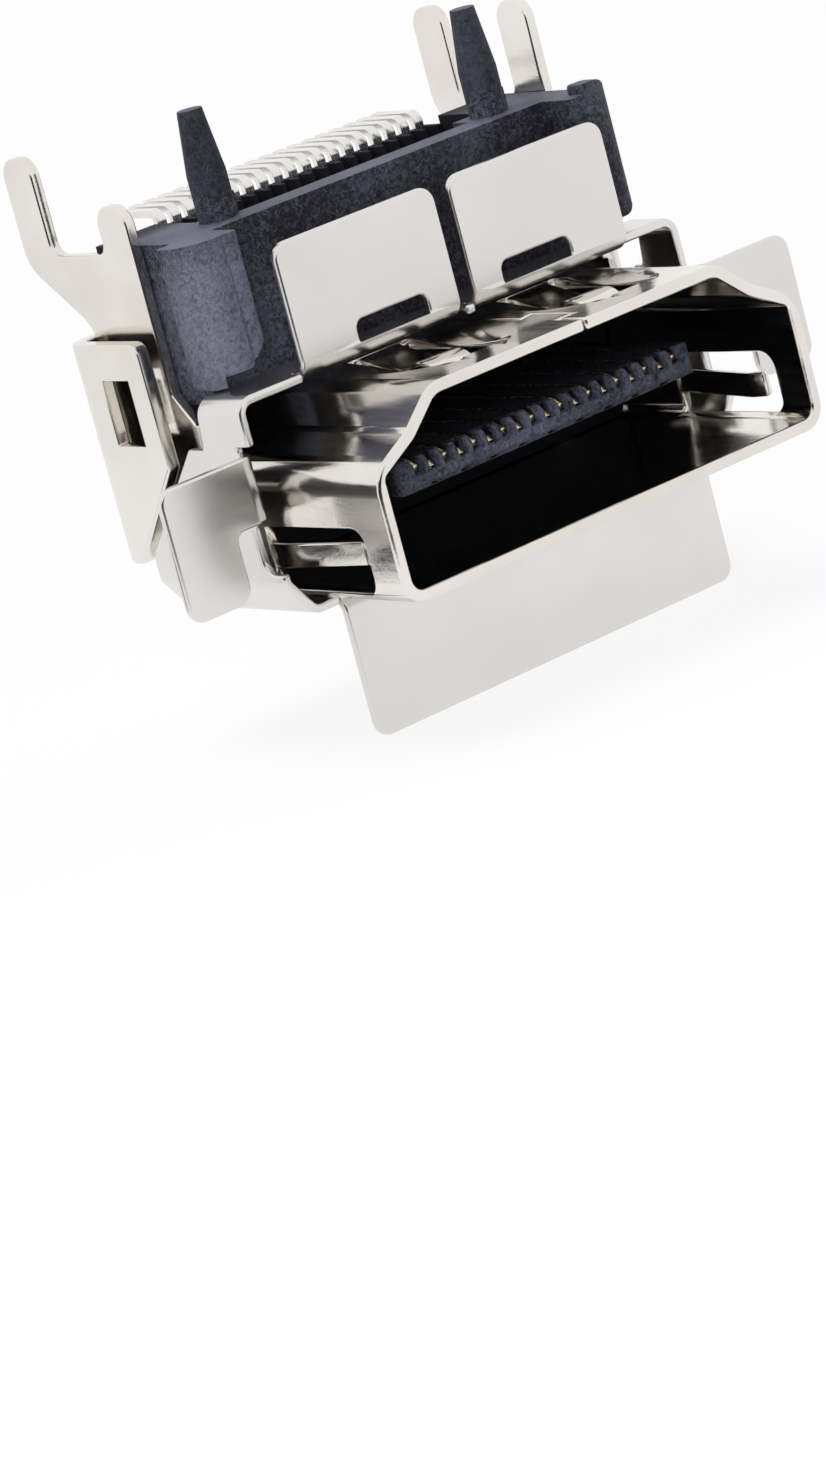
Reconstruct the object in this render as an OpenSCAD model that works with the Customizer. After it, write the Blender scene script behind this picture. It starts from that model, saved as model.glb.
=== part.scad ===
// Board-mounted digital video socket with nineteen contacts.
// The board side is up: pegs, legs and contact tails point to +Z, the mouth faces -Y.
// The origin lies on the board plane, midway between the two pegs.

/* [Mouth] */
// Inside width of the mouth, on its wide side
mouth_w = 14; // [13.4:0.1:14.6]
// Inside height of the mouth
mouth_h = 4.55; // [4.4:0.05:4.8]
// Inside width of the mouth on its narrow side
roof_w = 9.7; // [9.2:0.1:10.2]
// Height of the straight sides of the mouth
side_h = 3.05; // [2.8:0.05:3.2]
// Distance from the board down to the middle of the mouth
mouth_drop = 7.3; // [7:0.1:8]

/* [Inner shell] */
// Sheet thickness of the inner shell
shell_sheet = 0.34; // [0.3:0.01:0.4]
// Depth of the inner shell behind the mouth's face
shell_depth = 10.3; // [9.9:0.1:10.8]
// Distance from the peg axes back to the rear of the inner shell
shell_back = 2.7; // [2.6:0.05:2.8]
// Outer radius of the nose at its shoulders
shoulder_out_r = 1.1; // [0.7:0.1:1.3]
// Offset of the butt seam from the middle of the narrow side
seam_x = 0.3; // [-0.4:0.1:0.4]
// Open width of the butt seam
seam_gap = 0.06; // [0.04:0.01:0.1]
// Width of the dovetail in the seam
dovetail_w = 0.5; // [0.3:0.05:0.7]
// Length of the dovetail in the seam
dovetail_len = 1.7; // [1.2:0.1:2]
// Width of each spring finger
finger_w = 1.3; // [1:0.1:1.6]
// Slot beside each spring finger
finger_slot = 0.4; // [0.3:0.05:0.5]
// Distance between the two spring fingers
finger_pitch = 5.2; // [4.8:0.1:5.6]
// Distance from the mouth's face to the finger tips
finger_tip_back = 2.35; // [2.1:0.05:2.6]
// Length of each spring finger
finger_len = 3.25; // [3:0.05:3.5]
// How far a finger reaches into the mouth
finger_press = 0.4; // [0.25:0.05:0.5]
// Width of the pressed edge on each side of a finger
dish_w = 0.9; // [0.6:0.1:1]
// Depth of that pressed edge
dish_depth = 0.2; // [0.1:0.02:0.24]
// Distance from the mouth's face to the side windows
window_back = 1.22; // [1:0.02:1.5]
// Length of each side window
window_len = 4.2; // [3.8:0.1:4.6]
// Height of the side windows above the mouth's wide side
window_low = 0.02; // [0.02:0.02:0.2]
// Height of each side window
window_h = 1.75; // [1.6:0.05:1.9]
// Gap under the spring finger in each side window
side_finger_low = 0.58; // [0.4:0.02:0.7]
// Height of the spring finger in each side window
side_finger_h = 0.68; // [0.5:0.02:0.8]

/* [Legs] */
// Width of each leg
leg_w = 1.3; // [1.1:0.05:1.5]
// Distance from the peg axes back to the front legs
leg_front_back = 1; // [0.8:0.05:1.2]
// Distance between the front and rear legs
leg_pitch = 3.8; // [3.6:0.1:4]
// Reach of the long legs above the board
leg_long = 2.3; // [1.8:0.1:2.6]
// Reach of the short front leg above the board
leg_short = 0.9; // [0.7:0.1:1.4]
// Depth of the notch between the legs below the board
notch_low = 0.4; // [0.3:0.05:0.6]
// How far the latch barbs stand out of the leg plates
barb_out = 0.5; // [0.4:0.01:0.6]

/* [Front flange] */
// Sheet thickness of the front flange
flange_sheet = 0.25; // [0.2:0.01:0.3]
// Distance from the mouth's face to the flaps
flange_back = 4.2; // [4:0.1:4.4]
// Gap between the flange and the sides of the inner shell
flange_side_gap = 0.4; // [0.3:0.05:0.45]
// Gap between the flange and the top of the inner shell
flange_top_gap = 0.27; // [0.2:0.01:0.35]
// Gap between the flange and the underside of the inner shell
flange_low_gap = 0.05; // [0.03:0.01:0.1]
// Width of each of the two upper flaps
upper_flap_w = 5.4; // [5:0.1:5.6]
// Gap between the two upper flaps
upper_flap_gap = 0.5; // [0.4:0.1:0.8]
// Height of the upper flaps above the flange
upper_flap_rise = 3.38; // [2.8:0.02:3.8]
// Width of the slot across the bend of each upper flap
flap_slot_w = 2.4; // [2:0.1:2.8]
// Height of that slot
flap_slot_h = 0.58; // [0.4:0.02:0.7]
// Reach of each side flap
side_flap_reach = 3; // [2.4:0.1:3.4]
// Height of each side flap
side_flap_h = 3.6; // [3.2:0.1:4]
// Height of the bend that carries each side flap
side_bend_h = 1.8; // [1.5:0.1:2]
// Width of the lower flap
lower_flap_w = 12.7; // [11.6:0.1:13]
// Drop of the lower flap below the flange
lower_flap_drop = 3.8; // [3:0.1:4.4]
// Set-back of the flange's front edge at its upper right corner
corner_setback = 0.75; // [0.6:0.05:0.9]
// Corner radius of the flaps
flap_r = 0.45; // [0.3:0.05:0.6]

/* [Rear shield] */
// Sheet thickness of the rear shield
shield_sheet = 0.4; // [0.3:0.05:0.4]
// Clearance between the shield's arms and the leg plates
shield_gap = 0.35; // [0.3:0.01:0.4]
// Clearance between the shield and the contacts
shield_back_gap = 0.15; // [0.12:0.01:0.3]
// Distance from the peg axes back to the front edge of the arms
arm_front_back = 0.3; // [0.2:0.05:0.4]
// Length of the latch window along the arm
latch_len = 1.25; // [1.1:0.05:1.35]
// Height of the latch window
latch_h = 1.8; // [1.6:0.1:1.9]

/* [Plastic] */
// Gap between the riser's top and the board
standoff = 0.275; // [0.2:0.025:0.4]
// Clearance between the plastic pieces and the metal around them
plastic_gap = 0.05; // [0.03:0.01:0.08]
// Distance between the two pegs
peg_pitch = 9.4; // [9:0.1:9.6]
// Radius of each peg
peg_r = 0.53; // [0.45:0.01:0.6]
// Radius of each peg's tip
peg_tip_r = 0.34; // [0.25:0.01:0.4]
// Straight length of each peg above the board
peg_straight = 1; // [0.8:0.1:1.4]
// Tapered length of each peg
peg_taper = 1.7; // [1.2:0.1:2]
// Width of each front boss of the riser
boss_w = 1.7; // [1.5:0.1:1.9]
// Distance from the peg axes forward to the bosses
boss_ahead = 2.2; // [2:0.1:2.4]
// Width of the tongue
tongue_w = 10.2; // [9.8:0.1:10.4]
// Thickness of the tongue
tongue_t = 0.85; // [0.8:0.05:0.95]
// Distance from the mouth's face back to the tongue
tongue_back = 2; // [1.8:0.1:2.2]
// Distance from the mouth's face back to the insulator's front wall
insulator_back = 7.9; // [7.6:0.1:8.2]

/* [Contacts] */
// Distance between neighbouring contacts
contact_pitch = 0.5; // [0.48:0.01:0.52]
// Width of each contact
contact_w = 0.3; // [0.24:0.01:0.3]
// Thickness of each contact
contact_t = 0.2; // [0.15:0.01:0.22]
// Clearance around each contact in its groove
contact_gap = 0.02; // [0.01:0.005:0.03]
// Clearance between the insulator's rear and the upright run of the contacts
upright_gap = 0.2; // [0.15:0.01:0.3]
// Width of each contact at its tip
tip_w = 0.17; // [0.12:0.01:0.24]
// Length of each tail behind the upright run
tail_len = 1.85; // [1.5:0.05:2.2]

/* [Hidden] */
contact_count = 19;
bend_steps = 6;
$fn = 48;
over = 1;

// Places that several pieces share
shell_rear = shell_back;
mouth_y = shell_rear - shell_depth;
floor_z = -mouth_drop - mouth_h / 2;
roof_z = floor_z + mouth_h;
shell_x = mouth_w / 2 + shell_sheet;
shell_top = roof_z + shell_sheet;
shell_low = floor_z - shell_sheet;
upright_back = shell_rear + upright_gap + contact_t / 2;
upright_rear = upright_back + contact_t / 2;
riser_top = -standoff;

// Mouth outline, each corner as [x, z, radius]
floor_r = 0.35;
shoulder_r = 0.2;
sweep_r = 1.4;
roof_r = 0.6;
sweep_x = (mouth_w + 2 * roof_w) / 6 + 0.25;
sweep_z = floor_z + side_h + (mouth_h - side_h) * 0.43;
mouth_half = [
    [mouth_w / 2, floor_z, floor_r],
    [mouth_w / 2, floor_z + side_h, shoulder_r],
    [sweep_x, sweep_z, sweep_r],
    [roof_w / 2, roof_z, roof_r]];
mouth_outline = concat(mouth_half, mirrored(mouth_half));
shell_outline = softened(grown(mouth_outline, shell_sheet), shoulder_out_r);

// Inner shell
finger_root = mouth_y + finger_tip_back + finger_len;
finger_curl = 1.3;
finger_tip_gap = 1.05;
finger_hump = 0.15;
finger_hump_r = 0.8;
finger_sheet = shell_sheet * 0.9;
dish_len = 4;
dish_ahead = 1.9;
window_r = 0.45;
side_press = 0.42;
plate_toe = 0.75;
plate_front = leg_front_back - leg_w / 2 + 0.05;
plate_rear = upright_rear + shield_back_gap - 0.1;
leg_front_y = leg_front_back;
leg_rear_y = leg_front_back + leg_pitch;
plate_toe_y = plate_front - plate_toe;
plate_toe_z = floor_z + side_h + 1.45;
plate_step_z = plate_toe_z + 0.8;

// Front flange
flange_y = mouth_y + flange_back;
flange_mid = flange_sheet / 2;
flange_x = shell_x + flange_side_gap + flange_sheet;
flange_top = shell_top + flange_top_gap + flange_sheet;
flange_low = shell_low - flange_low_gap - flange_sheet;
flange_bend = 0.42;
flange_foot = 1;
flange_step_z = floor_z + side_h + 1;
flange_rear_gap = 0.4;
flange_diagonal = 2.95;
flange_rear = shell_rear - flange_rear_gap;
flange_step_y = flange_rear - flange_diagonal;
flange_strip = (flange_step_y - flange_y) * 0.636;
strip_extra = flange_strip * 0.2;
strip_slope = flange_strip * 0.17;
flange_corner_r = 0.5;
flange_skew_w = 0.7;
flange_skew_h = 1;
bend_relief = 0.1;
side_relief = 0.18;
side_flap_low = flange_step_z - 0.1 - side_flap_h;
side_flap_top = side_flap_low + side_flap_h;
side_flap_neck = side_flap_top - side_bend_h;
side_notch_w = 1;
front_notch_depth = 0.75;
front_notch_rise = 0.66;
front_notch_low = floor_z + front_notch_rise;
flap_slot_low = flange_top + 0.16;

// Rear shield
shield_x = shell_x + shield_gap + shield_sheet;
shield_front = upright_rear + shield_back_gap;
shield_rear = shield_front + shield_sheet;
shield_bend = 0.45;
arm_rise = 0.85;
arm_h = 6.1;
arm_cut = 2.65;
arm_tip = 0.85;
arm_low = floor_z + arm_rise;
arm_top = arm_low + arm_h;
arm_diagonal_z = arm_low + arm_cut;
latch_margin = 1.31;
latch_rise = 3.3;
latch_rear = shield_rear - latch_margin;
latch_front = latch_rear - latch_len;
latch_low = arm_low + latch_rise;
cap_inset = 0.5;
cap_drop = 0.4;
skirt_inset = 0.3;
shield_cap_w = mouth_w - 2 * cap_inset;
shield_top = riser_top - cap_drop;
shield_skirt_w = mouth_w - 2 * skirt_inset;
shield_low = shell_low;

// Leg plates, where they meet the rear shield
plate_heel_z = arm_top + 0.25;
gusset_rise = 1.7;
barb_margin = 0.25;
barb_front = latch_front + barb_margin - 0.05;
barb_len = latch_len - 2 * barb_margin;
barb_h = latch_h - 2 * barb_margin;

// Plastic
riser_half = mouth_w / 2 - plastic_gap;
riser_low = shell_top + plastic_gap;
riser_ahead = 1;
riser_wall = 1;
riser_front = -riser_ahead;
riser_rear_gap = 0.3;
riser_rear = upright_back - contact_t / 2 - riser_rear_gap;
trench_depth = 1.2;
trench_low = riser_top - trench_depth;
trench_side = 0.45;
trench_peg_gap = 0.2;
comb_rise = 0.4;
comb_drop = 0.2;
comb_low = riser_low + comb_rise;
comb_top = riser_top - comb_drop;
comb_rear = upright_rear;
boss_ear = 0.5;
boss_outer = riser_half + boss_ear;
boss_rise = 0.35;
boss_low = flange_top + boss_rise;
boss_r = 0.85;
boss_depth = 1.35;
boss_rear = boss_depth - boss_ahead;
boss_toe_w = 0.32;
boss_toe = 0.3;
boss_heel_r = 0.7;
boss_cut = 0.6;
boss_groove = 0.12;
boss_groove_in = 0.4;
boss_plan = [
    [boss_outer - boss_w, -boss_ahead, 0.1],
    [boss_outer, -boss_ahead, boss_r],
    [boss_outer, boss_rear, 0.1],
    [boss_outer - boss_w, boss_rear, 0]];
// Lower outer corner of a boss: a toe on the left one, a round heel on the right one
boss_toe_corners = [
    [boss_outer - boss_toe_w, boss_low, 0],
    [boss_outer - boss_toe_w, boss_low - boss_toe, 0],
    [boss_outer, boss_low - boss_toe, 0.1]];
boss_heel_corners = [[boss_outer, boss_low, boss_heel_r]];
post_w = 1.2;
post_t = 0.6;
post_r = 0.75;
peg_rib = 0.1;
peg_rib_h = 0.6;
tongue_mid = floor_z + mouth_h / 2;
tongue_low = tongue_mid - tongue_t / 2;
tongue_top = tongue_mid + tongue_t / 2;
tongue_front = mouth_y + tongue_back;
tongue_chamfer = 0.18;
notch_depth = 0.5;
notch_floor = tongue_mid + 0.02;
insulator_front = mouth_y + insulator_back;

// Contacts
contact_span = (contact_count - 1) * contact_pitch;
tip_front = tongue_front + 0.2;
tip_z = notch_floor + contact_t / 2 + contact_gap;
tip_slope = 0.4;
blade_sunk = 0.04;
blade_upper = tongue_top - blade_sunk - contact_t / 2;
blade_lower = tongue_low + blade_sunk + contact_t / 2;
contact_bend = 0.25;
tail_z = -contact_t / 2;

// Unit vector, and a vector turned left by a right angle
function unit(v) = v / norm(v);
function left(v) = [-v.y, v.x];

// The other half of an outline that is symmetric about x = 0, in order
function mirrored(q) = [for (i = [len(q) - 1:-1:0]) [-q[i].x, q[i].y, q[i].z]];

// Points of an arc of radius r that rounds the corner c between p and n
function corner_arc(p, c, n, r) =
    let (a = unit(p - c), b = unit(n - c), half = acos(a * b) / 2)
    let (mid = c + unit(a + b) * r / sin(half))
    let (s = c + a * r / tan(half) - mid, e = c + b * r / tan(half) - mid)
    let (start = atan2(s.y, s.x), sweep = (atan2(e.y, e.x) - start + 540) % 360 - 180)
    [for (i = [0:bend_steps])
        mid + r * [cos(start + sweep * i / bend_steps), sin(start + sweep * i / bend_steps)]];

function flat(c) = [c.x, c.y];
function corner(p, c, n) = c.z == 0 ? [flat(c)] : corner_arc(flat(p), flat(c), flat(n), c.z);

// Closed outline with rounded corners, from corners [x, y, radius]
function rounded(q) = let (m = len(q))
    [for (i = [0:m - 1]) each corner(q[(i + m - 1) % m], q[i], q[(i + 1) % m])];

// Open path with rounded bends, from corners [x, y, radius]
function bent(q) = let (m = len(q) - 1)
    [for (i = [0:m]) each (i == 0 || i == m ? [flat(q[i])] : corner(q[i - 1], q[i], q[i + 1]))];

// Outline grown outwards by t, for corners in anticlockwise order
function grown(q, t) = let (m = len(q))
    [for (i = [0:m - 1])
        let (a = unit(flat(q[i]) - flat(q[(i + m - 1) % m])))
        let (b = unit(flat(q[(i + 1) % m]) - flat(q[i])))
        let (out = -(left(a) + left(b)) * t / (1 + a * b))
        let (hand = cross(a, b) > 0 ? 1 : -1)
        [q[i].x + out.x, q[i].y + out.y, q[i].z == 0 ? 0 : q[i].z + hand * t]];

// The nose's outline with radius r at its two shoulders, which are corners 1 and 6
function softened(q, r) = [for (i = [0:len(q) - 1]) [q[i].x, q[i].y, i == 1 || i == 6 ? r : q[i].z]];

// Outline of a strip of thickness t that follows a path
function strip(path, t) = let (m = len(path) - 1)
    let (side = [for (i = [0:m])
        let (a = unit(path[max(i, 1)] - path[max(i, 1) - 1]))
        let (b = unit(path[min(i, m - 1) + 1] - path[min(i, m - 1)]))
        (left(a) + left(b)) / (1 + a * b) * t / 2])
    concat([for (i = [0:m]) path[i] + side[i]], [for (i = [m:-1:0]) path[i] - side[i]]);

// Extrusions of outlines that are drawn in x-z, y-z and x-y
module along_y(y0, y1) {
    translate([0, y1, 0]) rotate([90, 0, 0]) linear_extrude(y1 - y0) children();
}

module along_x(x0, x1) {
    translate([x0, 0, 0]) rotate([90, 0, 90]) linear_extrude(x1 - x0) children();
}

module along_z(z0, z1) {
    translate([0, 0, z0]) linear_extrude(z1 - z0) children();
}

module both_sides() {
    children();
    mirror([1, 0, 0]) children();
}

// Inner shell: a rolled nose with a seam, spring fingers and side windows, and the leg plates
module shell_tube() {
    along_y(mouth_y, shell_rear) difference() {
        polygon(rounded(shell_outline));
        polygon(rounded(mouth_outline));
    }
}

module seam_cut() {
    dovetail_y = mouth_y + 1.1;
    dovetail_x = seam_x + dovetail_w;
    seam = [
        [seam_x, mouth_y - over],
        [seam_x, dovetail_y],
        [dovetail_x, dovetail_y - 0.15],
        [dovetail_x, dovetail_y + dovetail_len],
        [seam_x, dovetail_y + dovetail_len - 0.15],
        [seam_x, shell_rear + over]];
    along_z(roof_z - shell_sheet, shell_top + shell_sheet) polygon(strip(seam, seam_gap));
}

module finger_openings() {
    open_w = finger_w + 2 * finger_slot;
    open_y = mouth_y + finger_tip_back - finger_tip_gap;
    for (x = [-finger_pitch / 2, finger_pitch / 2])
        translate([seam_x + x - open_w / 2, open_y, roof_z - over])
            cube([open_w, finger_len + finger_tip_gap, shell_sheet + 2 * over]);
}

module finger_dishes() {
    open_half = finger_w / 2 + finger_slot;
    dish_y = mouth_y + finger_tip_back - finger_tip_gap + dish_ahead;
    dish_r = dish_len * dish_len / (8 * dish_depth);
    slant = atan(dish_depth / dish_w);
    for (x = [-finger_pitch / 2, finger_pitch / 2], side = [-1, 1])
        translate([seam_x + x + side * (open_half + dish_w), dish_y, shell_top])
            rotate([0, side * -(90 + slant), 0])
                translate([side * dish_r, 0, -dish_w])
                    cylinder(r = dish_r, h = 2.5 * dish_w, $fn = 120);
}

module fingers() {
    root_y = finger_root + 0.3;
    wall_mid = shell_sheet / 2;
    tip_y = mouth_y + finger_tip_back;
    finger_path = [
        [root_y, wall_mid, 0],
        [finger_root - 0.2, wall_mid, 0.8],
        [tip_y + finger_curl, -finger_press + wall_mid, 0.25],
        [tip_y + finger_curl / 2, wall_mid + finger_hump, finger_hump_r],
        [tip_y, -finger_press / 2, 0]];
    for (x = [-finger_pitch / 2, finger_pitch / 2])
        along_x(seam_x + x - finger_w / 2, seam_x + x + finger_w / 2)
            translate([0, roof_z]) polygon(strip(bent(finger_path), finger_sheet));
}

module window_openings() {
    low = floor_z + window_low;
    front = mouth_y + window_back;
    window = [
        [front, low, window_r],
        [front + window_len, low, 0],
        [front + window_len, low + window_h, 0],
        [front, low + window_h, window_r]];
    along_x(-shell_x - over, shell_x + over) polygon(rounded(window));
}

module side_finger() {
    wall_mid = shell_x - shell_sheet / 2;
    low = floor_z + window_low + side_finger_low;
    front = mouth_y + window_back;
    root_y = front + window_len;
    side_path = [
        [wall_mid, root_y + 0.3, 0],
        [wall_mid, root_y - 0.4, 0.8],
        [wall_mid - side_press, front + 0.75, 0.25],
        [wall_mid - side_press + 0.12, front + 0.22, 0]];
    along_z(low, low + side_finger_h) polygon(strip(bent(side_path), finger_sheet * 0.8));
}

module leg_plate(front_reach) {
    leg_r = leg_w * 0.42;
    plate = [
        [plate_toe_y, floor_z + side_h - over, 0],
        [plate_rear, floor_z + side_h - over, 0],
        [plate_rear, plate_heel_z, 1],
        [leg_rear_y + leg_w / 2, plate_heel_z + gusset_rise, 1],
        [leg_rear_y + leg_w / 2, leg_long, leg_r],
        [leg_rear_y - leg_w / 2, leg_long, leg_r],
        [leg_rear_y - leg_w / 2, -notch_low, 0.35],
        [leg_front_y + leg_w / 2, -notch_low, 0.35],
        [leg_front_y + leg_w / 2, front_reach, leg_r],
        [leg_front_y - leg_w / 2, front_reach, leg_r],
        [plate_front, plate_step_z, 0.3],
        [plate_toe_y, plate_toe_z, 0.3]];
    along_x(shell_x - shell_sheet, shell_x) polygon(rounded(plate));
}

module barb() {
    barb_mid = latch_low + latch_h / 2;
    root_x = shell_x - shell_sheet / 2;
    along_z(barb_mid - barb_h / 2, barb_mid + barb_h / 2)
        polygon([
            [root_x, barb_front],
            [shell_x + barb_out, barb_front + 0.05],
            [shell_x, barb_front + barb_len],
            [root_x, barb_front + barb_len]]);
}

module inner_shell() {
    color("silver") {
        difference() {
            shell_tube();
            seam_cut();
            finger_openings();
            finger_dishes();
            window_openings();
        }
        fingers();
        both_sides() side_finger();
        both_sides() barb();
        leg_plate(leg_long);
        mirror([1, 0, 0]) leg_plate(leg_short);
    }
}

// Front flange: a folded ring around the nose with five flaps bent outwards at its front edge
module flange_ring() {
    ring = [
        [-flange_x + flange_skew_w, flange_low, flange_corner_r],
        [flange_x - flange_skew_w, flange_low, flange_corner_r],
        [flange_x, flange_low + flange_skew_h, flange_corner_r],
        [flange_x, flange_top, flange_corner_r],
        [-flange_x, flange_top, flange_corner_r],
        [-flange_x, flange_low + flange_skew_h, flange_corner_r]];
    intersection() {
        along_y(flange_y, flange_rear) difference() {
            polygon(rounded(ring));
            polygon(rounded(grown(ring, -flange_sheet)));
        }
        union() {
            along_x(-flange_x - over, 0) polygon(rounded(flange_side(flange_strip)));
            along_x(0, flange_x + over) polygon(rounded(flange_side(flange_strip + strip_extra)));
        }
    }
}

// Outline of the flange from the side, whose top strip is strip_w wide
function flange_side(strip_w) = [
    [flange_y, flange_low - over, 0],
    [flange_rear, flange_low - over, 0],
    [flange_rear, flange_step_z - flange_diagonal, 0.6],
    [flange_step_y, flange_step_z, 0.1],
    [flange_y + strip_w + strip_slope, flange_step_z, 0.15],
    [flange_y + strip_w, flange_top + over, 0],
    [flange_y, flange_top + over, 0]];

// Room that the bends of the flaps take from the ring's front edge
module flange_reliefs() {
    depth = flange_mid + flange_bend;
    half = upper_flap_gap / 2;
    both_sides() {
        translate([half - bend_relief, flange_y - over, flange_top - 2 * flange_sheet])
            cube([upper_flap_w + 2 * bend_relief, depth + over, 3 * flange_sheet]);
        translate([flange_x - 2 * flange_sheet, flange_y - over, side_flap_neck - side_relief])
            cube([3 * flange_sheet, depth + over, side_bend_h + 2 * side_relief]);
        along_x(flange_x - 2 * flange_sheet, flange_x + flange_sheet)
            polygon(rounded([
                [flange_y - over, front_notch_low, 0],
                [flange_y + front_notch_depth, front_notch_low, 0.4],
                [flange_y + front_notch_depth, side_flap_neck, 0.3],
                [flange_y - over, side_flap_neck, 0]]));
    }
    translate([half + upper_flap_w, flange_y - over, side_flap_top])
        cube([flange_x, corner_setback + over, flange_top - side_flap_top + over]);
    translate([-lower_flap_w / 2 - bend_relief, flange_y - over, flange_low - flange_sheet])
        cube([lower_flap_w + 2 * bend_relief, depth + over, 3 * flange_sheet]);
}

module upper_flap() {
    top = flange_top + upper_flap_rise;
    inner = upper_flap_gap / 2;
    outer = inner + upper_flap_w;
    slot_mid = (inner + outer) / 2 - 0.45;
    path = [
        [flange_y + flange_foot, flange_top - flange_mid, 0],
        [flange_y + flange_mid, flange_top - flange_mid, flange_bend],
        [flange_y + flange_mid, top, 0]];
    face = [
        [inner, flange_top - over, 0],
        [outer, flange_top - over, 0],
        [outer, top, flap_r],
        [inner, top, flap_r]];
    slot = [
        [slot_mid - flap_slot_w / 2, flap_slot_low, 0],
        [slot_mid + flap_slot_w / 2, flap_slot_low, 0],
        [slot_mid + flap_slot_w / 2, flap_slot_low + flap_slot_h, 0.25],
        [slot_mid - flap_slot_w / 2, flap_slot_low + flap_slot_h, 0.25]];
    difference() {
        intersection() {
            along_x(inner, outer) polygon(strip(bent(path), flange_sheet));
            along_y(flange_y - over, flange_y + 2) polygon(rounded(face));
        }
        along_y(flange_y - over, flange_y + flange_foot - 0.1) polygon(rounded(slot));
    }
}

module side_flap() {
    reach = flange_x + side_flap_reach;
    path = [
        [flange_x - flange_mid, flange_y + flange_foot, 0],
        [flange_x - flange_mid, flange_y + flange_mid, flange_bend],
        [reach, flange_y + flange_mid, 0]];
    face = [
        [flange_x - over, side_flap_neck, 0],
        [flange_x + side_notch_w, side_flap_neck, 0.25],
        [flange_x + side_notch_w, side_flap_low, flap_r],
        [reach, side_flap_low, flap_r],
        [reach, side_flap_top, flap_r],
        [flange_x - over, side_flap_top, 0]];
    intersection() {
        along_z(side_flap_low, side_flap_top) polygon(strip(bent(path), flange_sheet));
        along_y(flange_y - over, flange_y + 2) polygon(rounded(face));
    }
}

module lower_flap() {
    low = flange_low - lower_flap_drop;
    path = [
        [flange_y + flange_foot, flange_low + flange_mid, 0],
        [flange_y + flange_mid, flange_low + flange_mid, flange_bend],
        [flange_y + flange_mid, low, 0]];
    face = [
        [lower_flap_w / 2, flange_low + over, 0],
        [-lower_flap_w / 2, flange_low + over, 0],
        [-lower_flap_w / 2, low, flap_r],
        [lower_flap_w / 2, low, flap_r]];
    intersection() {
        along_x(-lower_flap_w / 2, lower_flap_w / 2) polygon(strip(bent(path), flange_sheet));
        along_y(flange_y - over, flange_y + 2) polygon(rounded(face));
    }
}

module front_flange() {
    color("gainsboro") {
        difference() {
            flange_ring();
            flange_reliefs();
        }
        both_sides() upper_flap();
        both_sides() side_flap();
        lower_flap();
    }
}

// Rear shield: a folded cover whose two arms latch over the barbs of the leg plates
module shield_wrap() {
    mid = shield_sheet / 2;
    wrap = [
        [-shield_x + mid, arm_front_back, 0],
        [-shield_x + mid, shield_rear - mid, shield_bend],
        [shield_x - mid, shield_rear - mid, shield_bend],
        [shield_x - mid, arm_front_back, 0]];
    along_z(arm_low, arm_top) polygon(strip(bent(wrap), shield_sheet));
}

module arm_outline() {
    arm = [
        [arm_front_back, arm_diagonal_z, 0.2],
        [shield_rear - arm_tip - 0.1, arm_low, 0.15],
        [shield_rear + over, arm_low, 0],
        [shield_rear + over, arm_top, 0],
        [arm_front_back, arm_top, 0.35]];
    along_x(-shield_x - over, shield_x + over) polygon(rounded(arm));
}

module rear_shield() {
    cap = [
        [-shield_skirt_w / 2, shield_low, 0.4],
        [shield_skirt_w / 2, shield_low, 0.4],
        [shield_skirt_w / 2, arm_top - over, 0],
        [shield_cap_w / 2, arm_top - over, 0],
        [shield_cap_w / 2, shield_top, 0.5],
        [-shield_cap_w / 2, shield_top, 0.5],
        [-shield_cap_w / 2, arm_top - over, 0],
        [-shield_skirt_w / 2, arm_top - over, 0]];
    color("lightgray") {
        difference() {
            intersection() {
                shield_wrap();
                arm_outline();
            }
            translate([-shield_x - over, latch_front, latch_low])
                cube([2 * (shield_x + over), latch_len, latch_h]);
        }
        along_y(shield_front, shield_rear) polygon(rounded(cap));
    }
}

// Insulator: the body that fills the rear of the nose, and the tongue with its grooves and notches
module insulator_body() {
    along_y(insulator_front, shell_rear) polygon(rounded(grown(mouth_outline, -plastic_gap)));
}

module tongue() {
    profile = [
        [tongue_front, notch_floor, 0],
        [tongue_front, tongue_low + tongue_chamfer, 0],
        [tongue_front + tongue_chamfer, tongue_low, 0],
        [insulator_front + over, tongue_low, 0],
        [insulator_front + over, tongue_top, 0],
        [tongue_front + tongue_chamfer, tongue_top, 0],
        [tongue_front, tongue_top - tongue_chamfer, 0]];
    intersection() {
        along_x(-tongue_w / 2, tongue_w / 2) polygon(rounded(profile));
        along_z(tongue_low, tongue_top)
            polygon(rounded([
                [-tongue_w / 2, tongue_front, 0.35],
                [tongue_w / 2, tongue_front, 0.35],
                [tongue_w / 2, insulator_front + over, 0],
                [-tongue_w / 2, insulator_front + over, 0]]));
    }
}

function is_upper(i) = i % 2 == 1;
function contact_x(i) = (i - 1) * contact_pitch - contact_span / 2;
function blade_z(i) = is_upper(i) ? blade_upper : blade_lower;

// Room for one contact: a notch in the tongue's front edge, a groove and a tunnel behind it
module contact_room(i) {
    half = contact_w / 2 + contact_gap;
    room = contact_t / 2 + contact_gap;
    z = blade_z(i);
    x = contact_x(i);
    translate([x - half, tongue_front - over, notch_floor])
        cube([2 * half, notch_depth + over, tongue_t]);
    translate([x - half, tip_front, z - room])
        cube([2 * half, shell_rear - tip_front + over, 2 * room]);
    translate([x - half, tip_front - room, min(tip_z, z) - room])
        cube([2 * half, 2 * tip_slope, abs(tip_z - z) + 2 * room]);
    groove_low = is_upper(i) ? z : tongue_low - over;
    groove_h = is_upper(i) ? tongue_t : z - tongue_low + over;
    translate([x - half, tip_front, groove_low])
        cube([2 * half, insulator_front - tip_front - 0.05, groove_h]);
}

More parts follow.
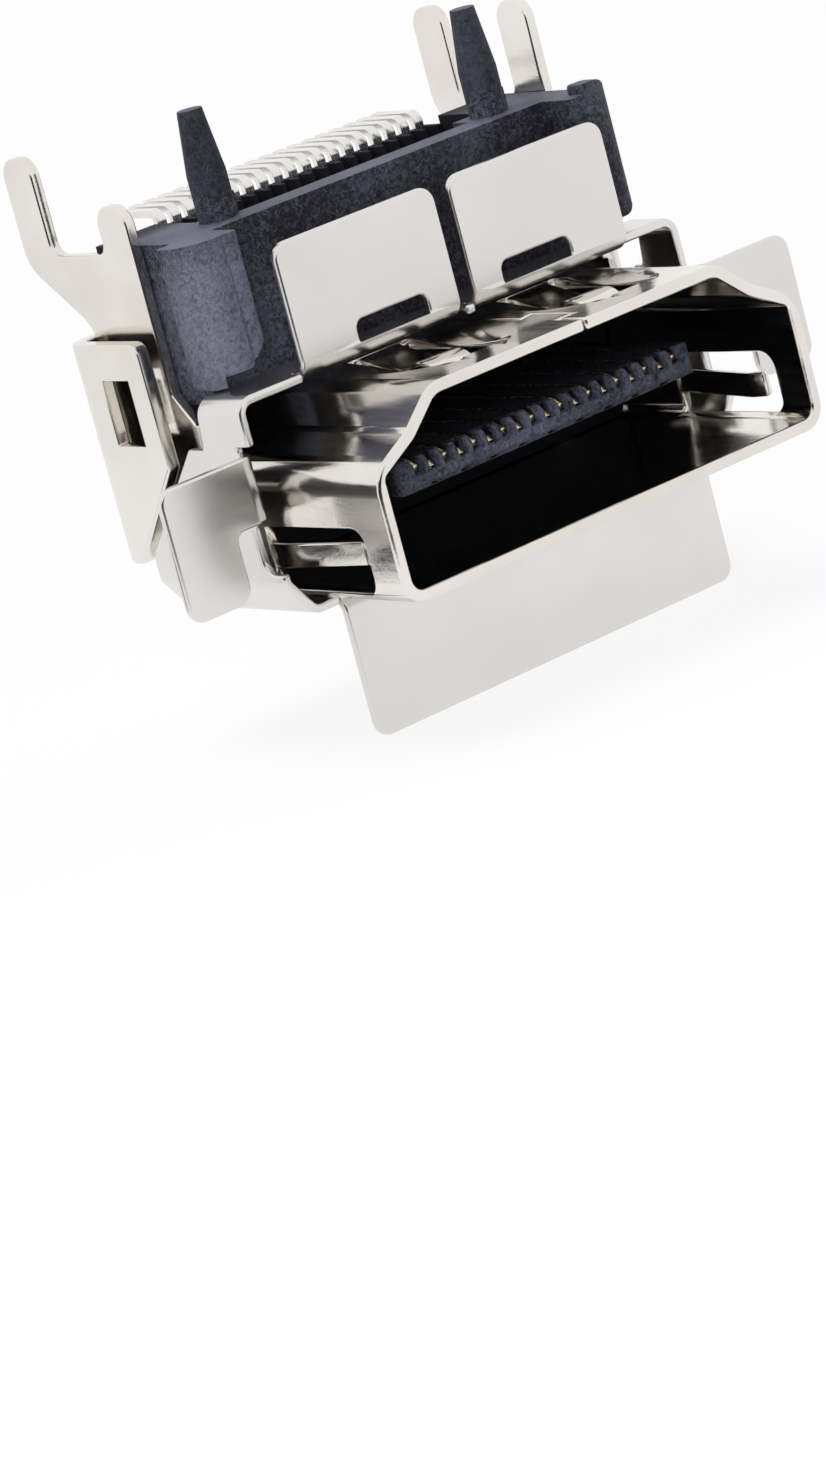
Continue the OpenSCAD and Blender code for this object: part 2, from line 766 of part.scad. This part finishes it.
module insulator() {
    color("#2b2d38") difference() {
        union() {
            insulator_body();
            tongue();
        }
        for (i = [1:contact_count]) contact_room(i);
    }
}

// Riser: the block between the nose and the board, with front bosses, pegs and a comb for the tails
module riser_block() {
    along_z(riser_low, riser_top)
        polygon([
            [-riser_half, riser_front],
            [riser_half, riser_front],
            [riser_half, riser_rear],
            [-riser_half, riser_rear]]);
}

module boss(low_corners) {
    inner = boss_outer - boss_w;
    face = concat(
        [[inner, boss_low + boss_cut, 0], [inner + boss_cut, boss_low, 0]],
        low_corners,
        [[boss_outer, riser_top, 0], [inner, riser_top, 0]]);
    intersection() {
        along_z(boss_low - boss_toe, riser_top) polygon(rounded(boss_plan));
        along_y(-boss_ahead - over, boss_rear + over) polygon(rounded(face));
    }
}

module left_boss() {
    groove_x = boss_outer - boss_w + boss_groove_in;
    mirror([1, 0, 0]) difference() {
        boss(boss_toe_corners);
        translate([groove_x, -boss_ahead - over, boss_low - over])
            cube([boss_groove, over + boss_groove / 2, riser_top - boss_low + 2 * over]);
    }
}

module post() {
    face = [
        [boss_outer - post_w, riser_top - over, 0],
        [boss_outer, riser_top - over, 0],
        [boss_outer, 0, post_r],
        [boss_outer - post_w, 0, 0.1]];
    intersection() {
        along_z(riser_top - over, over) polygon(rounded(boss_plan));
        along_y(-boss_ahead - over, post_t - boss_ahead) polygon(rounded(face));
    }
}

module trench() {
    trench_half = contact_span / 2 + trench_side;
    peg_half = peg_pitch / 2 - peg_r - trench_peg_gap;
    wall_rear = riser_front + riser_wall;
    translate([-trench_half, peg_r + trench_peg_gap, trench_low])
        cube([2 * trench_half, riser_rear, standoff - trench_low]);
    translate([-peg_half, wall_rear, trench_low])
        cube([2 * peg_half, riser_rear, standoff - trench_low]);
}

module comb() {
    tooth_w = contact_pitch - contact_w - 2 * contact_gap;
    for (i = [0:contact_count])
        translate([contact_x(i) + (contact_pitch - tooth_w) / 2, riser_rear - contact_t, comb_low])
            cube([tooth_w, comb_rear - riser_rear + contact_t, comb_top - comb_low]);
}

module peg() {
    translate([peg_pitch / 2, 0, riser_top - 0.2])
        cylinder(r = peg_r, h = standoff + 0.2 + peg_straight);
    translate([peg_pitch / 2, 0, peg_straight])
        cylinder(r1 = peg_r, r2 = peg_tip_r, h = peg_taper);
}

module peg_rib() {
    translate([0, -peg_rib, riser_top - 0.1])
        cube([peg_r + peg_rib, 2 * peg_rib, peg_rib_h + 0.1]);
}

module riser() {
    color("#2b2d38") {
        difference() {
            riser_block();
            trench();
        }
        left_boss();
        boss(boss_heel_corners);
        post();
        comb();
        both_sides() peg();
        for (x = [-peg_pitch / 2, peg_pitch / 2]) translate([x, 0, 0]) peg_rib();
    }
}

// Contact: a strip that follows the tongue, turns up behind the insulator and ends in a tail
module contact(i) {
    z = blade_z(i);
    path = [
        [tip_front, tip_z, 0],
        [tip_front + tip_slope, z, 0.12],
        [upright_back, z, contact_bend],
        [upright_back, tail_z, contact_bend],
        [upright_back + tail_len, tail_z, 0]];
    tip_end = tip_front + tip_slope;
    rear = upright_back + tail_len + over;
    plan = [
        [-tip_w / 2, tip_front - over],
        [tip_w / 2, tip_front - over],
        [tip_w / 2, tip_end],
        [contact_w / 2, tip_end + contact_w],
        [contact_w / 2, rear],
        [-contact_w / 2, rear],
        [-contact_w / 2, tip_end + contact_w],
        [-tip_w / 2, tip_end]];
    color("gold") translate([contact_x(i), 0, 0]) intersection() {
        along_x(-contact_w, contact_w) polygon(strip(bent(path), contact_t));
        along_z(tongue_low - over, over) polygon(plan);
    }
}

function contact_name(i) = str("contact_", i < 10 ? "0" : "", i);

inner_shell();
front_flange();
rear_shield();
insulator();
riser();
for (i = [1:contact_count]) contact(i);
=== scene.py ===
import math

import bpy
import numpy as np
from mathutils import Matrix, Vector


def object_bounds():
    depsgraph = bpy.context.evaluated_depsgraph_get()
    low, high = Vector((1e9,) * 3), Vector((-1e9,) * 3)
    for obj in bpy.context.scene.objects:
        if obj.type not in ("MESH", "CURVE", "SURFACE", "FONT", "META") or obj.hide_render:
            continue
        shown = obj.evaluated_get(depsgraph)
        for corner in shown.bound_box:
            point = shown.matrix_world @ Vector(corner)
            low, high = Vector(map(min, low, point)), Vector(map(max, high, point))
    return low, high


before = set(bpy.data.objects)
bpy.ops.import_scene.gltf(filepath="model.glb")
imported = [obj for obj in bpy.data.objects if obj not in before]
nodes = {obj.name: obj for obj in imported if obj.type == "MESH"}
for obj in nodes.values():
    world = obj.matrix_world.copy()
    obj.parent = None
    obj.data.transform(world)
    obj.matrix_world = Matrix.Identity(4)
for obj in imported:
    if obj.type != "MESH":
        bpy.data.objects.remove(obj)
cadLow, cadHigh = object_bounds()
contactNames = sorted(n for n in nodes if n.startswith("contact_"))
print("frame loaded:", len(nodes), "pieces")


# node helpers: addNode returns the node, the others return what it gives out;
# a noise value lies mostly between noiseLow and noiseHigh
noiseLow, noiseMiddle, noiseHigh = 0.3, 0.5, 0.7
rampWidth = 0.4


def addNode(tree, kind, inputs=None, **settings):
    node = tree.nodes.new(kind)
    for key, value in settings.items():
        setattr(node, key, value)
    for key, value in (inputs or {}).items():
        if isinstance(value, bpy.types.NodeSocket):
            tree.links.new(value, node.inputs[key])
        else:
            node.inputs[key].default_value = value
    return node


def mathNode(tree, operation, *values):
    return addNode(tree, "ShaderNodeMath", dict(enumerate(values)), operation=operation).outputs["Value"]


def vectorMath(tree, operation, *values):
    return addNode(tree, "ShaderNodeVectorMath", dict(enumerate(values)), operation=operation).outputs["Value"]


def axesOf(tree, vector):
    return addNode(tree, "ShaderNodeSeparateXYZ", {"Vector": vector}).outputs


def grainNoise(tree, coords, stretch, scale, detail=4.0, rough=0.6, swirl=0.0):
    # noise on object coordinates, drawn out along the axes by stretch
    mapped = addNode(tree, "ShaderNodeMapping", {"Vector": coords, "Scale": stretch}).outputs["Vector"]
    inputs = {"Vector": mapped, "Scale": scale, "Detail": detail, "Roughness": rough, "Distortion": swirl}
    return addNode(tree, "ShaderNodeTexNoise", inputs).outputs["Fac"]


def spread(tree, value, low, high, fromLow=noiseLow, fromHigh=noiseHigh):
    inputs = {"Value": value, "From Min": fromLow, "From Max": fromHigh, "To Min": low, "To Max": high}
    return addNode(tree, "ShaderNodeMapRange", inputs).outputs["Result"]


def twoTone(tree, factor, first, second, low=noiseLow):
    ramp = addNode(tree, "ShaderNodeValToRGB", {"Fac": factor})
    ramp.color_ramp.elements[0].position = low
    ramp.color_ramp.elements[0].color = (*first, 1)
    ramp.color_ramp.elements[1].position = low + rampWidth
    ramp.color_ramp.elements[1].color = (*second, 1)
    return ramp.outputs["Color"]


def bumpFrom(tree, height, distance, under=None):
    bump = addNode(tree, "ShaderNodeBump", {"Height": height, "Distance": distance})
    if under:
        tree.links.new(under, bump.inputs["Normal"])
    return bump.outputs["Normal"]


def startMaterial(name, **sockets):
    mat = bpy.data.materials.new(name)
    mat.use_nodes = True
    tree = mat.node_tree
    shader = tree.nodes["Principled BSDF"]
    for key, value in sockets.items():
        shader.inputs[key].default_value = value
    return mat, tree, shader


def objectCoords(tree):
    return addNode(tree, "ShaderNodeTexCoord").outputs["Object"]


def linkSurface(tree, shader, tone, rough, normal):
    for key, value in (("Base Color", tone), ("Roughness", rough), ("Normal", normal)):
        tree.links.new(value, shader.inputs[key])


# plated sheet: two close tones in soft clouds, rolling grain, a fine orange-peel bump and a slow waviness under it
def platedSheet(name, look):
    mat, tree, shader = startMaterial(name, Metallic=1.0)
    coords = objectCoords(tree)
    clouds = grainNoise(tree, coords, (1, 1, 1), look["cloudScale"], detail=3.0)
    grain = grainNoise(tree, coords, look["grainStretch"], look["grainScale"], detail=5.0, rough=0.7)
    peel = grainNoise(tree, coords, (1, 1, 1), look["peelScale"], detail=2.0)
    wave = grainNoise(tree, coords, look["waveStretch"], look["waveScale"], detail=1.0)
    slow = bumpFrom(tree, wave, look["waveDepth"])
    linkSurface(tree, shader,
                tone=twoTone(tree, clouds, look["toneDark"], look["toneLight"]),
                rough=spread(tree, grain, look["roughLow"], look["roughHigh"]),
                normal=bumpFrom(tree, mathNode(tree, "ADD", grain, peel), look["bumpDepth"], under=slow))
    return mat


shellLook = dict(toneDark=(0.72, 0.68, 0.63), toneLight=(0.82, 0.785, 0.745), cloudScale=260,
                 grainStretch=(9, 1, 9), grainScale=900, peelScale=9000, bumpDepth=0.0000014,
                 roughLow=0.09, roughHigh=0.19,
                 waveStretch=(1, 0.5, 1), waveScale=420, waveDepth=0.00008)
flangeLook = dict(toneDark=(0.715, 0.70, 0.685), toneLight=(0.765, 0.75, 0.735), cloudScale=180,
                  grainStretch=(1, 6, 6), grainScale=1200, peelScale=14000, bumpDepth=0.0000001,
                  roughLow=0.23, roughHigh=0.26,
                  waveStretch=(1, 1, 1), waveScale=260, waveDepth=0.00002)
shieldLook = dict(toneDark=(0.74, 0.705, 0.655), toneLight=(0.82, 0.79, 0.75), cloudScale=220,
                  grainStretch=(1, 1, 7), grainScale=1800, peelScale=9000, bumpDepth=0.0000008,
                  roughLow=0.15, roughHigh=0.23,
                  waveStretch=(1, 1, 1), waveScale=300, waveDepth=0.00004)


# moulded plastic: short pale fibres of the filler on a dark blue-grey body, matte with a fine tooth;
# past fadeStart along Y the body is painted darker, as painted shade deeper in. Where a look has them,
# faces that look up are lighter (dust, partly painted top light), one spot is lighter as a painted pool of light,
# and past calmStart along Z (the pegs) the fibres hardly show
plasticLook = dict(cloudStretch=(1, 1, 0.4), cloudLift=0.08, paintedShadeDrop=-0.5, dustAndTopLightFrom=0.6, dustAndTopLightFull=0.95, paintedLightCore=0.4)


def mouldedPlastic(name, look):
    mat, tree, shader = startMaterial(name, Metallic=0.0)
    shader.inputs["Specular IOR Level"].default_value = look["gloss"]
    coords = objectCoords(tree)
    fibre = grainNoise(tree, coords, (1, 1, 1), look["fibreScale"], detail=5.0, rough=0.72, swirl=look["fibreSwirl"])
    clouds = grainNoise(tree, coords, plasticLook["cloudStretch"], look["cloudScale"], detail=2.0)
    places = axesOf(tree, coords)
    # the second lift is painted shade: the body turns darker past fadeStart along Y, deeper in
    lifts = [spread(tree, clouds, -plasticLook["cloudLift"], plasticLook["cloudLift"]),
             spread(tree, places["Y"], 0.0, plasticLook["paintedShadeDrop"], look["fadeStart"], look["fadeEnd"])]
    if "calmShare" in look:
        calm = spread(tree, places["Z"], 1.0, look["calmShare"], look["calmStart"], look["calmEnd"])
        centred = mathNode(tree, "SUBTRACT", fibre, noiseMiddle)
        fibre = mathNode(tree, "MULTIPLY_ADD", centred, calm, noiseMiddle)
        lifts.append(spread(tree, places["Z"], 0.0, look["calmLift"], look["calmStart"], look["calmEnd"]))
    # faces that look up are lighter: dust, and partly painted top light
    if "dustAndTopLightLift" in look:
        facing = addNode(tree, "ShaderNodeTexCoord").outputs["Normal"]
        upward = axesOf(tree, facing)["Z"]
        lifts.append(spread(tree, upward, 0.0, look["dustAndTopLightLift"], plasticLook["dustAndTopLightFrom"], plasticLook["dustAndTopLightFull"]))
    # a painted pool of light: the tone is lighter around one spot on the left boss, fading out over its reach
    if "paintedLightLift" in look:
        away = vectorMath(tree, "DISTANCE", coords, look["paintedLightSpot"])
        core = look["paintedLightReach"] * plasticLook["paintedLightCore"]
        lifts.append(spread(tree, away, look["paintedLightLift"], 0.0, core, look["paintedLightReach"]))
    tone = fibre
    for lift in lifts:
        tone = mathNode(tree, "ADD", tone, lift)
    linkSurface(tree, shader,
                tone=twoTone(tree, tone, look["toneDark"], look["toneLight"], look["rampLow"]),
                rough=spread(tree, fibre, look["roughLow"], look["roughHigh"]),
                normal=bumpFrom(tree, fibre, look["bumpDepth"]))
    return mat


# in both looks, fadeStart to fadeEnd along Y is where the painted shade deeper in sets in
riserLook = dict(toneDark=(0.011, 0.011, 0.016), toneLight=(0.135, 0.14, 0.185), rampLow=0.43,
                 fibreScale=7000, fibreSwirl=1.2, cloudScale=420, fadeStart=0.0012, fadeEnd=0.0026, dustAndTopLightLift=0.2,
                 # the spot, reach and lift below paint a pool of light on the left boss
                 paintedLightSpot=(-0.0067, -0.0022, -0.0024), paintedLightReach=0.0032, paintedLightLift=0.24,
                 calmStart=0.0002, calmEnd=0.0006, calmShare=0.35, calmLift=-0.03,
                 gloss=0.16, roughLow=0.5, roughHigh=0.75, bumpDepth=0.000008)
insulatorLook = dict(toneDark=(0.006, 0.006, 0.009), toneLight=(0.11, 0.115, 0.16), rampLow=0.32,
                     fibreScale=6000, fibreSwirl=1.2, cloudScale=500, fadeStart=-0.0054, fadeEnd=-0.0046,
                     gloss=0.12, roughLow=0.5, roughHigh=0.75, bumpDepth=0.000004)


# contact strip: gold on the blade in the mouth, bright tin on the upright run and the tail
def platedContact(name, look):
    mat, tree, shader = startMaterial(name, Metallic=1.0)
    coords = objectCoords(tree)
    along = spread(tree, axesOf(tree, coords)["Y"], 0.0, 1.0, look["goldEnd"], look["tinStart"])
    streak = grainNoise(tree, coords, look["streakStretch"], look["streakScale"])
    wobble = mathNode(tree, "MULTIPLY_ADD", streak, look["streakShare"], along)
    linkSurface(tree, shader,
                tone=twoTone(tree, wobble, look["gold"], look["tin"]),
                rough=spread(tree, streak, look["roughLow"], look["roughHigh"]),
                normal=bumpFrom(tree, streak, look["bumpDepth"]))
    return mat


contactLook = dict(gold=(0.76, 0.65, 0.44), tin=(0.80, 0.785, 0.76), goldEnd=0.0015, tinStart=0.0025,
                   streakStretch=(8, 1, 1), streakScale=3000, streakShare=0.25,
                   roughLow=0.16, roughHigh=0.32, bumpDepth=0.000002)

finishes = {"inner_shell": platedSheet("brightNickel", shellLook),
            "front_flange": platedSheet("satinNickel", flangeLook),
            "rear_shield": platedSheet("warmNickel", shieldLook),
            "riser": mouldedPlastic("riserPlastic", riserLook),
            "insulator": mouldedPlastic("tonguePlastic", insulatorLook)}
contactFinish = platedContact("contactPlating", contactLook)
for name in contactNames:
    finishes[name] = contactFinish
print("finishes made:", len(set(finishes.values())))


# edges: flat faces joined, then rounded where two faces meet sharply, so that cut edges catch the light.
# width rounds all edges, or those at the front (the lip, the tongue's teeth) with rest for the ones behind;
# edges in a sharp plane have too narrow a face beside them to be rounded
edgeLimit = math.radians(32)
flatLimit = math.radians(0.2)
edgeMargin = 0.00002
edgeSegments = 3
fineWeld = 0.000001
edgeLooks = dict(inner_shell=dict(width=0.00011, rest=0.00007, front=-0.0076, weld=0.00001,
                                  sharp=(("Y", -0.00218), ("Y", -0.002), ("Y", -0.00035), ("Y", 0.0027))),
                 front_flange=dict(width=0.00008, weld=0.00001, sharp=(("Z", -0.004005),)),
                 rear_shield=dict(width=0.00006),
                 riser=dict(width=0.00002),
                 insulator=dict(width=0.00003, rest=0.000005, front=-0.0056),
                 contact=dict(width=0.00002))


def edgeWeights(name, look):
    # smooth shading, and a rounding weight from 0 to 1 on each sharp edge
    group = bpy.data.node_groups.new(name, "GeometryNodeTree")
    for side in ("INPUT", "OUTPUT"):
        group.interface.new_socket("Geometry", in_out=side, socket_type="NodeSocketGeometry")
    start = group.nodes.new("NodeGroupInput").outputs["Geometry"]
    shade = addNode(group, "GeometryNodeSetShadeSmooth", {"Geometry": start, "Shade Smooth": True})
    angle = addNode(group, "GeometryNodeInputMeshEdgeAngle").outputs["Unsigned Angle"]
    places = axesOf(group, addNode(group, "GeometryNodeInputPosition").outputs["Position"])
    weight = mathNode(group, "GREATER_THAN", angle, edgeLimit)
    scales = []
    if "front" in look:
        ahead = mathNode(group, "LESS_THAN", places["Y"], look["front"] + edgeMargin)
        scales.append(spread(group, ahead, look["rest"] / look["width"], 1.0, 0.0, 1.0))
    for axis, level in look.get("sharp", ()):
        near = mathNode(group, "COMPARE", places[axis], level, edgeMargin)
        scales.append(spread(group, near, 1.0, 0.0, 0.0, 1.0))
    for scale in scales:
        weight = mathNode(group, "MULTIPLY", weight, scale)
    inputs = {"Geometry": shade.outputs["Geometry"], "Name": "bevel_weight_edge", "Value": weight}
    store = addNode(group, "GeometryNodeStoreNamedAttribute", inputs, data_type="FLOAT", domain="EDGE")
    group.links.new(store.outputs["Geometry"], group.nodes.new("NodeGroupOutput").inputs["Geometry"])
    return group


edgeGroups = {kind: edgeWeights(kind + "Edges", look) for kind, look in edgeLooks.items()}
for name, piece in nodes.items():
    kind = "contact" if name in contactNames else name
    piece.data.materials.clear()
    piece.data.materials.append(finishes[name])
    weld = piece.modifiers.new("weld", "WELD")
    weld.merge_threshold = edgeLooks[kind].get("weld", fineWeld)
    flat = piece.modifiers.new("flat", "DECIMATE")
    flat.decimate_type = "DISSOLVE"
    flat.angle_limit = flatLimit
    piece.modifiers.new("weights", "NODES").node_group = edgeGroups[kind]
    bevel = piece.modifiers.new("edge", "BEVEL")
    bevel.width = edgeLooks[kind]["width"]
    bevel.segments = edgeSegments
    bevel.limit_method = "WEIGHT"
    bevel.use_clamp_overlap = False
    piece.modifiers.new("normals", "WEIGHTED_NORMAL")
print("edges softened on", len(nodes), "pieces")


# stage: a pale floor just under the lowest flap; the camera and reflections see it as white,
# with the shadow kept near the socket
stageLook = dict(floorTone=(0.86, 0.86, 0.86), floorSize=1.6, floorDrop=0.00001, floorPoints=9,
                 shadowShare=0.16, fadeStart=0.03, fadeEnd=0.2, worldLight=0.3)
white = (1, 1, 1, 1)


def whiteRays(tree):
    # 1 for rays that come from the camera, a reflection or a see-through surface
    rays = addNode(tree, "ShaderNodeLightPath").outputs
    seen = mathNode(tree, "MAXIMUM", rays["Is Camera Ray"], rays["Is Glossy Ray"])
    return mathNode(tree, "MAXIMUM", seen, rays["Is Transmission Ray"])


def gridObject(name, x, y, z, mat):
    # one quad between each four neighbours of the grids x, y and z
    rows, columns = x.shape
    points = np.column_stack([x.ravel(), y.ravel(), z.ravel()])
    corner = (np.arange(rows - 1)[:, None] * columns + np.arange(columns - 1)).ravel()
    faces = np.column_stack([corner, corner + 1, corner + columns + 1, corner + columns])
    mesh = bpy.data.meshes.new(name)
    mesh.from_pydata(points.tolist(), [], faces.tolist())
    mesh.materials.append(mat)
    item = bpy.data.objects.new(name, mesh)
    bpy.context.collection.objects.link(item)
    return item


def makeFloor():
    mat = bpy.data.materials.new("paleFloor")
    mat.use_nodes = True
    tree = mat.node_tree
    tree.nodes.clear()
    paper = addNode(tree, "ShaderNodeBsdfDiffuse", {"Color": (*stageLook["floorTone"], 1)}).outputs["BSDF"]
    glow = addNode(tree, "ShaderNodeEmission", {"Color": white, "Strength": 1.0}).outputs["Emission"]
    away = vectorMath(tree, "LENGTH", objectCoords(tree))
    fade = spread(tree, away, 1 - stageLook["shadowShare"], 1.0, stageLook["fadeStart"], stageLook["fadeEnd"])
    share = mathNode(tree, "MULTIPLY", whiteRays(tree), fade)
    mixed = addNode(tree, "ShaderNodeMixShader", {0: share, 1: paper, 2: glow}).outputs["Shader"]
    tree.links.new(mixed, addNode(tree, "ShaderNodeOutputMaterial").inputs["Surface"])
    half = stageLook["floorSize"] / 2
    line = np.linspace(-half, half, stageLook["floorPoints"])
    x, y = np.meshgrid(line, line)
    floor = gridObject("floor", x, y, np.full(x.shape, cadLow.z - stageLook["floorDrop"]), mat)


def makeWorld():
    world = bpy.data.worlds.new("tent")
    bpy.context.scene.world = world
    world.use_nodes = True
    tree = world.node_tree
    tree.nodes.clear()
    soft, bright = (addNode(tree, "ShaderNodeBackground", {"Color": white, "Strength": power}).outputs["Background"]
                    for power in (stageLook["worldLight"], 1.0))
    mixed = addNode(tree, "ShaderNodeMixShader", {0: whiteRays(tree), 1: soft, 2: bright}).outputs["Shader"]
    tree.links.new(mixed, addNode(tree, "ShaderNodeOutputWorld").inputs["Surface"])


# lamps: place and size in metres and power in watts, each aimed at the socket and left out of reflections
lamps = dict(left=dict(place=(-0.052, -0.050, 0.008), size=0.03, power=0.034),
             right=dict(place=(0.25, -0.03, 0.09), size=0.16, power=0.30),
             top=dict(place=(-0.03, 0.05, 0.28), size=0.22, power=0.60))


def makeLamp(name, look):
    data = bpy.data.lights.new(name, "AREA")
    data.shape = "SQUARE"
    data.size = look["size"]
    data.energy = look["power"]
    lamp = bpy.data.objects.new(name, data)
    bpy.context.collection.objects.link(lamp)
    place = Vector(look["place"])
    middle = (cadLow + cadHigh) / 2
    turn = (middle - place).to_track_quat("-Z", "Y").to_matrix().to_4x4()
    lamp.matrix_world = Matrix.Translation(place) @ turn
    lamp.visible_glossy = False


# dark cards: stand low beside the socket and show only in reflections, so that bright sheet gets its dark bands
cards = dict(frontCard=dict(middle=(-0.026, -0.024), width=0.048, height=0.022, turn=54, tone=0.03),
             sideCard=dict(middle=(-0.0254, 0.010), width=0.013, height=0.003, turn=90, tone=0.02))
cardPoints = 5, 3


def makeCard(name, look):
    across, up = np.meshgrid(np.linspace(-0.5, 0.5, cardPoints[0]), np.linspace(0, 1, cardPoints[1]))
    turn = math.radians(look["turn"])
    x = look["middle"][0] + across * look["width"] * math.sin(turn)
    y = look["middle"][1] - across * look["width"] * math.cos(turn)
    mat, tree, shader = startMaterial(name, Roughness=1.0)
    shader.inputs["Base Color"].default_value = (look["tone"],) * 3 + (1,)
    card = gridObject(name, x, y, cadLow.z + up * look["height"], mat)
    for ray in ("visible_camera", "visible_diffuse", "visible_transmission", "visible_shadow"):
        setattr(card, ray, False)


makeFloor()
for name, look in cards.items():
    makeCard(name, look)
makeWorld()
for name, look in lamps.items():
    makeLamp(name, look)
print("stage and lamps ready")


# camera: place in metres, its forward and up directions, turned down by dropPixels
# so that the socket fills the upper half of the frame
shot = dict(place=(-0.08623, -0.12048, 0.022545), forward=(0.572, 0.7982, -0.1889), up=(0.3145, -0.0007, 0.9493),
            pixelFocus=5624.15, frameHeight=1470, dropPixels=367.5, sensor=36, clip=(0.005, 10))


def makeCamera():
    forward = Vector(shot["forward"]).normalized()
    up = Vector(shot["up"])
    up = (up - forward * up.dot(forward)).normalized()
    right = forward.cross(up)
    tilt = math.atan(shot["dropPixels"] / shot["pixelFocus"])
    aim = forward * math.cos(tilt) - up * math.sin(tilt)
    top = up * math.cos(tilt) + forward * math.sin(tilt)
    data = bpy.data.cameras.new("shot")
    data.sensor_width = shot["sensor"]
    data.lens = shot["pixelFocus"] * math.cos(tilt) * shot["sensor"] / shot["frameHeight"]
    data.clip_start, data.clip_end = shot["clip"]
    camera = bpy.data.objects.new("shot", data)
    bpy.context.collection.objects.link(camera)
    turn = Matrix((right, top, -aim)).transposed().to_4x4()
    camera.matrix_world = Matrix.Translation(Vector(shot["place"])) @ turn
    bpy.context.scene.camera = camera


makeCamera()
bpy.context.scene.view_settings.view_transform = "Standard"
print("camera set")
